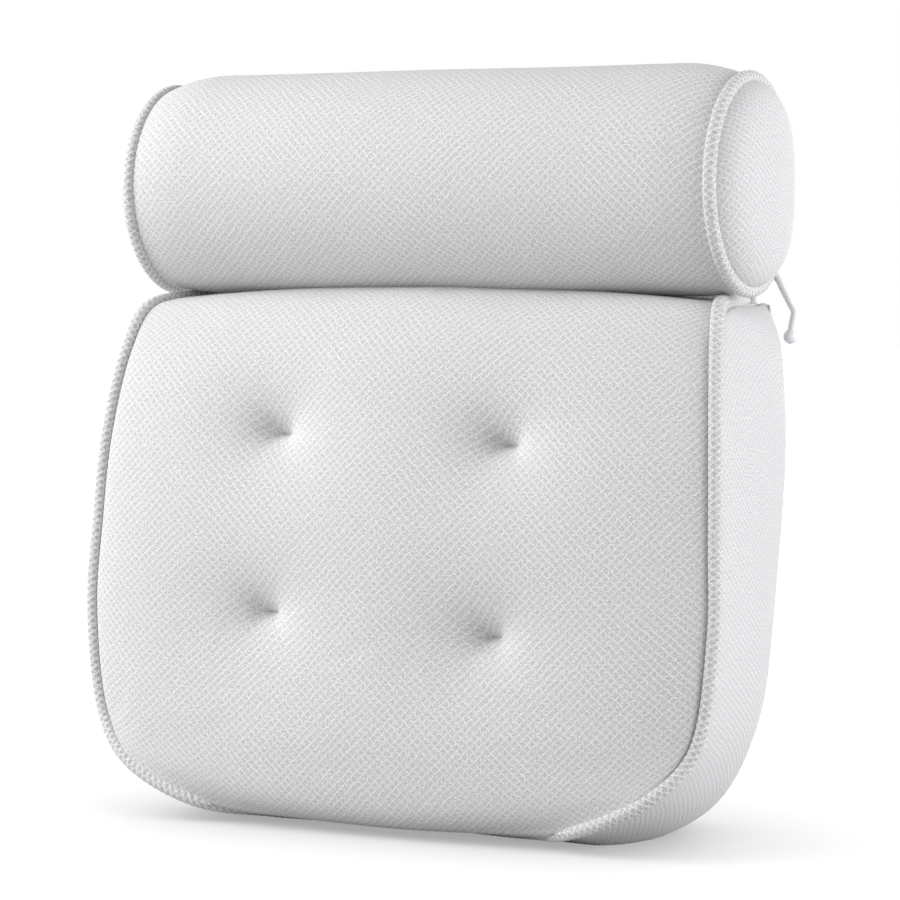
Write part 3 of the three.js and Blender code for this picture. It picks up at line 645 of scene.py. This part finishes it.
def tubePoints(path, normal):
    tangent = unit(np.gradient(path, axis=0))
    first = unit(normal - (normal * tangent).sum(-1, keepdims=True) * tangent)
    second = np.cross(tangent, first)
    angle = np.linspace(0, 2 * np.pi, cordOfPiping["around"] + 1)
    run = alongLength(path)
    run *= cordOfPiping["pitch"] * round(run[-1] / cordOfPiping["pitch"]) / run[-1]
    fold = np.abs(((angle + np.pi) % (2 * np.pi)) - np.pi)
    loops = np.cos(2 * np.pi * (run[:, None] / cordOfPiping["pitch"] - fold[None] / cordOfPiping["slant"]))
    size = pad["piping"] + cordOfPiping["relief"] * loops
    size[:, -1] = size[:, 0]
    around = first[:, None] * np.cos(angle)[None, :, None] + second[:, None] * np.sin(angle)[None, :, None]
    girth = np.broadcast_to(angle * pad["piping"], size.shape)
    flat = np.stack([girth, np.broadcast_to(run[:, None], size.shape)], -1)
    return path[:, None] + around * size[..., None], flat


t = evenPlaces(0.0, 1.0, cordOfPiping["steps"])
points, flat = tubePoints(curveAt(seamPoints, t), outward(t) + np.array([0, -1, 0]))
# both ends are closed
points[[0, -1]] = points[[0, -1]].mean(axis=1, keepdims=True)
piping = clothGrid("pad_piping_cord", points, flat, knitPiping, wrap=True)
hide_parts("pad_piping")
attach(piping, "pad")
print("pad piping made")


# head roll: towards its ends the axis drops, and the rear is drawn in

def onRoll(angle, radius, x):
    past = np.maximum(0, (np.abs(x) - roll["half"] + roll["shoulder"]) / roll["shoulder"])
    atEnd = np.minimum(1, past) ** 2
    atRear = ((1 - np.cos(angle)) / 2) ** roll["tiltNarrowness"]
    height = roll["axis"] - roll["ringDrop"] * atEnd
    tilted = x - np.sign(x) * roll["tilt"] * atEnd * atRear * radius / roll["ring"]
    return np.stack([tilted, -radius * np.cos(angle) * roll["flatness"], height + radius * np.sin(angle)], -1)


def rollPoints():
    edge = roll["half"] - roll["sleeveInset"]
    x = np.linspace(-edge, edge, roll["along"] + 1)
    angle = roll["start"] + np.linspace(0, 2 * np.pi, roll["around"] + 1)
    past = np.maximum(0, (np.abs(x) - edge + roll["shoulder"]) / roll["shoulder"])
    radius = roll["radius"] - (roll["radius"] - roll["ring"] - roll["sleeveOverRing"]) * past ** 2
    angles, radii = np.meshgrid(angle, radius)
    xs = np.broadcast_to(x[:, None], angles.shape)
    # uneven in front, even at the ends and at the rear, where the strip and the cups sit
    spread = np.stack([xs, xs, roll["unevenSpan"] * np.cos(angles - roll["unevenTurn"])], -1)
    share = (1 - past ** 2)[:, None] * np.clip(roll["unevenRear"] + np.cos(angles), 0, 1)
    points = onRoll(angles, radii + soften(spread, roll["uneven"], roll["seed"]) * share, xs)
    return points, np.stack([xs, angles * roll["radius"]], -1)


points, flat = rollPoints()
sleeve = clothGrid("roll_cover_cloth", points[:, ::-1], flat[:, ::-1], knitPanel, wrap=True)
giveWall(sleeve)
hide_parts("roll_cover", "roll_fill")
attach(sleeve, "roll")

for name, sign in (("left", -1), ("right", 1)):
    angle = np.linspace(0, 2 * np.pi, roll["discAround"] + 1)
    angles, shares = np.meshgrid(angle, np.linspace(0, 1, roll["discRings"] + 1))
    edgePower, fullness = roll["domeEdge"]
    dome = roll["half"] - roll["discInset"] + roll["bulge"] * (1 - shares ** edgePower) ** fullness
    points = onRoll(angles, shares * (roll["ring"] - roll["discInset"]), sign * dome)
    run = alongLength(points)
    flat = np.stack([run * np.cos(angles), run * np.sin(angles)], -1)
    order = slice(None, None, -sign)
    disc = clothGrid(f"roll_end_{name}_cloth", points[:, order], flat[:, order], knitSide, wrap=True)
    giveWall(disc)
    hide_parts(f"roll_end_{name}")
    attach(disc, "roll")
    turn = roll["start"] + np.linspace(0, 2 * np.pi, roll["ringSteps"] + 1)
    path = onRoll(turn, np.full(turn.shape, roll["ring"]), np.full(turn.shape, sign * roll["half"]))
    centre = np.array([0, 0, roll["axis"] - roll["ringDrop"]])
    points, flat = tubePoints(path, unit(path * [0, 1, 1] - centre) + np.array([sign, 0, 0]))
    points[-1] = points[0]
    ringCord = clothGrid(f"roll_piping_{name}_cord", points, flat, knitPiping, wrap=True)
    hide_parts(f"roll_piping_{name}")
    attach(ringCord, "roll")
print("head roll made")


# hinge strip: one cloth from the pad's back to the roll's back
strip = {
    "wide": 149,
    "neck": 118,
    "low": 242,
    "high": 296,
    "fold": 262,
    "face": 46.4,
    "gap": 0.4,
    "wall": 3,
    "round": 9,
    "roundSteps": 8,
    "shoulder": (253, 262),
    "shoulderSteps": 14,
    "upper": (263, 284),
    "upperRows": 14,
    "columns": 60,
}


def behindRoll(z):
    # depth just behind the roll's back
    return roll["flatness"] * np.sqrt(roll["radius"] ** 2 - (z - roll["axis"]) ** 2) + strip["gap"]


def stripPoints():
    corner = strip["round"] * (1 - np.cos(np.linspace(0, np.pi / 2, strip["roundSteps"] + 1)))
    shoulder = np.linspace(*strip["shoulder"], strip["shoulderSteps"] + 1)
    upper = np.linspace(*strip["upper"], strip["upperRows"])
    z = np.concatenate([strip["low"] + corner, shoulder[1:], upper, strip["high"] - corner[::-1]])
    ear = np.clip((z - shoulder[0]) / (shoulder[-1] - shoulder[0]), 0, 1)
    width = strip["wide"] + (strip["neck"] - strip["wide"]) * ear ** 2 * (3 - 2 * ear)
    fromEdge = np.minimum(np.minimum(z - strip["low"], strip["high"] - z), strip["round"])
    width -= strip["round"] - np.sqrt(strip["round"] ** 2 - (strip["round"] - fromEdge) ** 2)
    climb = np.clip((z - strip["fold"]) / (strip["high"] - strip["fold"]), 0, 1)
    depth = strip["face"] + (behindRoll(strip["high"]) - strip["face"]) * climb
    x = width[:, None] * np.linspace(-1, 1, strip["columns"] + 1)
    points = np.stack([x, np.broadcast_to(depth[:, None], x.shape), np.broadcast_to(z[:, None], x.shape)], -1)
    return points, points[..., [0, 2]]


def thicken(piece, thickness):
    bm = bmesh.new()
    bm.from_mesh(piece.data)
    bmesh.ops.solidify(bm, geom=bm.faces[:], thickness=thickness * mm)
    bmesh.ops.recalc_face_normals(bm, faces=bm.faces)
    bm.to_mesh(piece.data)
    bm.free()


points, flat = stripPoints()
hinge = clothGrid("hinge_strip_cloth", points[:, ::-1], flat[:, ::-1], knitSide)
thicken(hinge, -strip["wall"])
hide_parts("hinge_strip_lower", "hinge_strip_upper")
run = alongLength(points[:, strip["columns"] // 2])
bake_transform(hinge)
print("hinge strip made")


# suction cups and eyelets, turned about Y; outlines are a radius and a height over the grip, seat or bed
cups = {
    "places": [(-88, 82), (88, 82), (-88, 192), (88, 192), (-95, 315), (95, 315)],
    "onPad": 4,
    "rollBack": 52.7,
    "gap": 0.4,
    "cloth": 4,
    "knobRadius": 7.5,
    "knobGap": 0.2,
    "knob": [(0, -3), (6.3, -3), (7.2, -2.2), (7.5, -1.4), (7.2, -0.5), (6.7, 0), (4.5, 0)],
    "bell": [(4.5, 0), (7.9, 0), (8.5, 0.6), (8.5, 2.8), (10.7, 4.6), (15.7, 7), (20, 10.4), (22.4, 12.6),
             (23, 13.2), (23, 13.8), (22.6, 14), (20, 14), (15.5, 10.1), (11.5, 8.6), (7.5, 7.3), (4, 6.6),
             (0, 6.44)],
    "eyelet": [(5, 0), (14.4, 0), (15, 0.3), (15, 0.9), (14.7, 1.4), (14.1, 1.6), (13.2, 1.6), (12.9, 1.35),
               (12.1, 1.35), (11.8, 1.6), (6.2, 1.6), (5.4, 1.5), (5, 1.1), (5, 0)],
    "eyeletWall": 1.6,
    "saddleWall": 0.9,
    "steps": 48,
}


def eyeletBed(onRollCup):
    return (cups["rollBack"] if onRollCup else pad["back"]) + cups["gap"]


def turnedPiece(name, profile, x, z, material):
    bm = bmesh.new()
    verts = [bm.verts.new((x * mm + radius * mm, y * mm, z * mm)) for radius, y in profile]
    edges = [bm.edges.new(pair) for pair in zip(verts[:-1], verts[1:])]
    bmesh.ops.spin(bm, geom=verts + edges, cent=(x * mm, 0, z * mm), axis=(0, 1, 0), angle=2 * math.pi,
                   steps=cups["steps"], use_merge=True)
    bmesh.ops.remove_doubles(bm, verts=bm.verts, dist=1e-6)
    bmesh.ops.recalc_face_normals(bm, faces=bm.faces)
    return toObject(bm, name, material)


def saddle(piece, above):
    # the eyelet's inner side follows the roll's back
    for vert in piece.data.vertices:
        if vert.co.y < above * mm:
            vert.co.y = behindRoll(vert.co.z / mm) * mm


for number, (x, z) in enumerate(cups["places"], 1):
    onRollCup = number > cups["onPad"]
    bed = eyeletBed(onRollCup)
    face = bed + cups["eyeletWall"]
    seat = face + cups["gap"]
    # the knob sits under the cloth, deeper where the roll's back is round
    grip = bed - 2 * cups["gap"] - cups["cloth"]
    if onRollCup:
        grip -= cups["knobRadius"] ** 2 / (2 * roll["radius"]) + cups["knobGap"]
    profile = [(r, grip + y) for r, y in cups["knob"]] + [(r, seat + y) for r, y in cups["bell"]]
    cup = turnedPiece(f"suction_cup_{number}_vinyl", profile, x, z, softVinyl)
    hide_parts(f"suction_cup_{number}")
    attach(cup, f"cup_{number}")
    outline = [(r, bed + y) for r, y in cups["eyelet"]]
    eyelet = turnedPiece(f"cup_patch_{number}_vinyl", outline, x, z, patchVinyl)
    if onRollCup:
        saddle(eyelet, face - cups["saddleWall"])
    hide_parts(f"cup_patch_{number}")
    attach(eyelet, "roll" if onRollCup else "pad")
print("suction cups made")


# hook: moulded bar with an eye, a throat and a leg that ends in a ball
hook = {
    "bar": 2.0,
    "depth": 59,
    "axis": 230,
    "eyeHalf": 9,
    "eyeTop": 8,
    "eyeSide": [(0, 8), (0, 4), (0.3, 1), (1.6, 0)],
    "shankTop": 250,
    "top": 262.6,
    "throat": 7.5,
    "throatTurn": math.pi - 0.3,
    "throatSteps": 16,
    "leg": 151,
    "flare": 4.6,
    "kinkFlare": 6.9,
    "kink": 251.6,
    "tip": 239.5,
    "ball": 3.5,
}


def barAlong(name, points, radius, cyclic=False):
    curve = bpy.data.curves.new(name, "CURVE")
    curve.dimensions = "3D"
    curve.bevel_depth = radius * mm
    curve.bevel_resolution = 5
    curve.use_fill_caps = True
    spline = curve.splines.new("POLY")
    spline.points.add(len(points) - 1)
    for point, place in zip(spline.points, points):
        point.co = (*[c * mm for c in place], 1)
    spline.use_cyclic_u = cyclic
    holder = bpy.data.objects.new(name, curve)
    scene.collection.objects.link(holder)
    bpy.context.view_layer.update()
    mesh = bpy.data.meshes.new_from_object(holder.evaluated_get(bpy.context.evaluated_depsgraph_get()))
    bpy.data.objects.remove(holder)
    return mesh


shank = hook["leg"] - 2 * hook["throat"]
bend = [(shank + hook["throat"] * (1 - math.cos(a)), hook["depth"],
         hook["top"] + hook["throat"] * math.sin(a))
        for a in np.linspace(0, hook["throatTurn"], hook["throatSteps"] + 1)]
kink = (hook["leg"] + hook["kinkFlare"], hook["depth"], hook["kink"])
tip = (hook["leg"] + hook["flare"], hook["depth"], hook["tip"])
line = [(shank, hook["depth"], hook["axis"] + hook["eyeTop"]), (shank, hook["depth"], hook["shankTop"]),
        *bend, kink, tip]
eye = [(shank + sign * (hook["eyeHalf"] - inset), hook["depth"], hook["axis"] + lift)
       for sign, side in ((-1, hook["eyeSide"]), (1, hook["eyeSide"][::-1])) for inset, lift in side]
bm = bmesh.new()
bm.from_mesh(barAlong("hook_line", line, hook["bar"]))
bm.from_mesh(barAlong("hook_eye", eye, hook["bar"], cyclic=True))
bmesh.ops.create_uvsphere(bm, u_segments=24, v_segments=16, radius=hook["ball"] * mm,
                          matrix=Matrix.Translation(Vector(tip) * mm))
hanger = toObject(bm, "hook_moulding", nylon)
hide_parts("hook")
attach(hanger, "hook")
print("hook made")


# webbing: a folded tape round the eye's lower bar, its tail sewn to the back
webbing = {
    "width": 12,
    "thickness": 0.5,
    "layers": (47.0, 48.1),
    "tail": (212, 216, 221.5),
    "rise": [(49.2, 224.4), (53, 228.4)],
    "fall": [(54, 224.8), (50.4, 223.2)],
    "round": 3.0,
    "turn": (135, -70),
    "turnSteps": 18,
    "rows": 120,
    "columns": 8,
}
inner, outer = ([(y, z) for z in webbing["tail"]] for y in webbing["layers"])
around = [(hook["depth"] + webbing["round"] * math.cos(a), hook["axis"] + webbing["round"] * math.sin(a))
          for a in np.radians(np.linspace(*webbing["turn"], webbing["turnSteps"] + 1))]
tapeLine = curveAt([*inner, *webbing["rise"], *around, *webbing["fall"], *outer[::-1]],
                   np.linspace(0, 1, webbing["rows"] + 1))
u = np.linspace(-0.5, 0.5, webbing["columns"] + 1) * webbing["width"]
size = (len(tapeLine), len(u))
points = np.stack([np.broadcast_to(shank + u, size), np.broadcast_to(tapeLine[:, :1], size),
                   np.broadcast_to(tapeLine[:, 1:], size)], -1)
run = alongLength(tapeLine)
flat = np.stack([np.broadcast_to(u, size), np.broadcast_to(run[:, None], size)], -1)
band = clothGrid("hook_webbing_tape", points, flat, tape)
thicken(band, webbing["thickness"])
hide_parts("hook_webbing")
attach(band, "pad")
print("webbing made")


# stitch rows: strip edges, eyelets and the webbing's tail
stitch = {
    "length": 2.8,
    "thickness": 0.8,
    "pitch": 4,
    "rows": (245, 293),
    "rowInset": 8,
    "flankInset": 3.5,
    "flankSpan": (250, 253),
    "tailFace": 48.6,
    "tailRows": (213.6, 220),
    "tailHalf": 4,
    "tailFlank": 4.4,
    "tailFlankSpan": (215.2, 218.4),
    "ringRadius": 12.5,
    "ringCount": 20,
    "ringSink": 0.2,
}
outerFace = strip["face"] + strip["wall"]


def stitchLine(bm, start, end):
    start, end = np.array(start, float), np.array(end, float)
    count = max(2, round(np.linalg.norm(end - start) / stitch["pitch"]) + 1)
    places = start + (end - start) * np.linspace(0, 1, count)[:, None]
    addStitches(bm, places, [end - start] * count, stitch["length"], stitch["thickness"])


def stitchRow(bm, middle, half, y, z):
    stitchLine(bm, (middle - half, y, z), (middle + half, y, z))


def stitchFlanks(bm, middle, half, y, span):
    for x in (middle - half, middle + half):
        stitchLine(bm, (x, y, span[0]), (x, y, span[1]))


def stitchRing(bm, x, y, z):
    turns = np.linspace(0, 2 * np.pi, stitch["ringCount"] + 1)[:-1]
    radius = stitch["ringRadius"]
    places = [(x + radius * math.cos(a), y, z + radius * math.sin(a)) for a in turns]
    directions = [(-math.sin(a), 0, math.cos(a)) for a in turns]
    addStitches(bm, places, directions, stitch["length"], stitch["thickness"])


for body in ("pad", "roll"):
    bm = bmesh.new()
    lowRow, highRow = stitch["rows"]
    if body == "pad":
        stitchRow(bm, 0, strip["wide"] - stitch["rowInset"], outerFace, lowRow)
        stitchFlanks(bm, 0, strip["wide"] - stitch["flankInset"], outerFace, stitch["flankSpan"])
        for z in stitch["tailRows"]:
            stitchRow(bm, shank, stitch["tailHalf"], stitch["tailFace"], z)
        stitchFlanks(bm, shank, stitch["tailFlank"], stitch["tailFace"], stitch["tailFlankSpan"])
    else:
        climb = (highRow - strip["fold"]) / (strip["high"] - strip["fold"])
        seat = outerFace + (behindRoll(strip["high"]) - strip["face"]) * climb
        stitchRow(bm, 0, strip["neck"] - stitch["rowInset"], seat, highRow)
    for number, (x, z) in enumerate(cups["places"], 1):
        onRollCup = number > cups["onPad"]
        if onRollCup == (body == "roll"):
            stitchRing(bm, x, eyeletBed(onRollCup) + cups["eyeletWall"] - stitch["ringSink"], z)
    row = toObject(bm, f"{body}_stitches", thread)
    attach(row, body)
print("stitches made")


# studio: pale floor, soft light, white behind; metres, and lamps in watts
studio = {
    "azimuth": 28,
    "elevation": 3.24,
    "distance": 1.74,
    "target": (-0.00164, 0, 0.1827),
    "lens": 140.28,
    "floorHalf": 8,
    "floorBounce": "#BCBCBC",
    "floorSeen": "#7C7C7C",
    # glow near and far: lower near the pillow, a painted shade round it
    "floorGlow": (0.82, 0.95),
    "glowReach": (0.25, 0.9),
    "shadowReach": 0.11,
    "shadowDepth": 0.56,
    "whiteLevel": (0.44, 1.0),
    "lamps": [("key softbox", (-1.25, -0.85, 1.0), (0, 0, 0.2), (1.2, 1.2), 32),
              ("side softbox", (1.9, 0.15, 0.45), (0, 0, 0.15), (1.3, 0.9), 26.5),
              ("back softbox", (-0.3, 2.3, 0.4), (0, 0, 0.15), (1.8, 0.8), 26),
              ("low softbox", (0.3, -1.7, 0.12), (0, 0, 0.25), (1.6, 0.2), 1.4)],
}

az, el = math.radians(studio["azimuth"]), math.radians(studio["elevation"])
toCamera = Vector((math.sin(az) * math.cos(el), -math.cos(az) * math.cos(el), math.sin(el)))
lens = bpy.data.cameras.new("camera")
lens.sensor_width = 36
lens.lens = studio["lens"]
lens.clip_end = 50
camera = bpy.data.objects.new("camera", lens)
camera.location = Vector(studio["target"]) + toCamera * studio["distance"]
camera.rotation_euler = toCamera.to_track_quat("Z", "Y").to_euler()
scene.collection.objects.link(camera)
scene.camera = camera

# the floor glows for the camera alone, which makes it white; the glow is painted down close under the pillow
# and where ambient occlusion finds it, a painted contact shadow
bm = bmesh.new()
bmesh.ops.create_grid(bm, x_segments=1, y_segments=1, size=studio["floorHalf"])
floorPaint, tree, shader = newMaterial("studio floor")
shader.inputs["Roughness"].default_value = 0.9
seen = addNode(tree, "ShaderNodeLightPath").outputs["Is Camera Ray"]
paint = addNode(tree, "ShaderNodeMix", {"data_type": "RGBA"},
                {"Factor": seen, 6: linear(studio["floorBounce"]), 7: linear(studio["floorSeen"])})
tree.links.new(paint.outputs[2], shader.inputs["Base Color"])
ground = addNode(tree, "ShaderNodeTexCoord").outputs["Object"]
far = addNode(tree, "ShaderNodeVectorMath", {"operation": "LENGTH"}, {0: ground}).outputs["Value"]
fade = addNode(tree, "ShaderNodeMapRange", {"interpolation_type": "SMOOTHSTEP"},
               dict(enumerate((far, *studio["glowReach"], *studio["floorGlow"]))))
# painted contact shadow: ambient occlusion dims the floor's glow under and beside the pillow
occlusion = addNode(tree, "ShaderNodeAmbientOcclusion", {"samples": 12}, {"Distance": studio["shadowReach"]})
contactShadowShare = addNode(tree, "ShaderNodeMapRange", None,
                   {0: occlusion.outputs["AO"], 3: 1 - studio["shadowDepth"], 4: 1.0})
shadowedGlow = addNode(tree, "ShaderNodeMath", {"operation": "MULTIPLY"}, {0: fade, 1: contactShadowShare})
strength = addNode(tree, "ShaderNodeMath", {"operation": "MULTIPLY"}, {0: seen, 1: shadowedGlow})
glow = addNode(tree, "ShaderNodeEmission", None, {"Color": (1, 1, 1, 1), "Strength": strength})
both = addNode(tree, "ShaderNodeAddShader", None, {0: shader, 1: glow})
tree.links.new(both.outputs[0], tree.nodes["Material Output"].inputs["Surface"])
floor = toObject(bm, "floor", floorPaint, smooth=False)

world = bpy.data.worlds.new("studio white")
scene.world = world
world.use_nodes = True
tree = world.node_tree
rays = addNode(tree, "ShaderNodeLightPath").outputs
mirrored = addNode(tree, "ShaderNodeMath", {"operation": "MAXIMUM"},
                   {0: rays["Is Camera Ray"], 1: rays["Is Glossy Ray"]})
unseen, white = studio["whiteLevel"]
level = addNode(tree, "ShaderNodeMapRange", None, {0: mirrored, 3: unseen, 4: white})
backdrop = tree.nodes["Background"]
tree.links.new(level.outputs[0], backdrop.inputs["Strength"])
backdrop.inputs["Color"].default_value = (1, 1, 1, 1)


def softbox(name, place, aim, size, watts):
    light = bpy.data.lights.new(name, "AREA")
    light.shape = "RECTANGLE"
    light.size, light.size_y = size
    light.energy = watts
    lamp = bpy.data.objects.new(name, light)
    lamp.location = place
    lamp.rotation_euler = (Vector(place) - Vector(aim)).to_track_quat("Z", "Y").to_euler()
    scene.collection.objects.link(lamp)


for lampSettings in studio["lamps"]:
    softbox(*lampSettings)
scene.view_settings.view_transform = "Standard"

print("studio made")
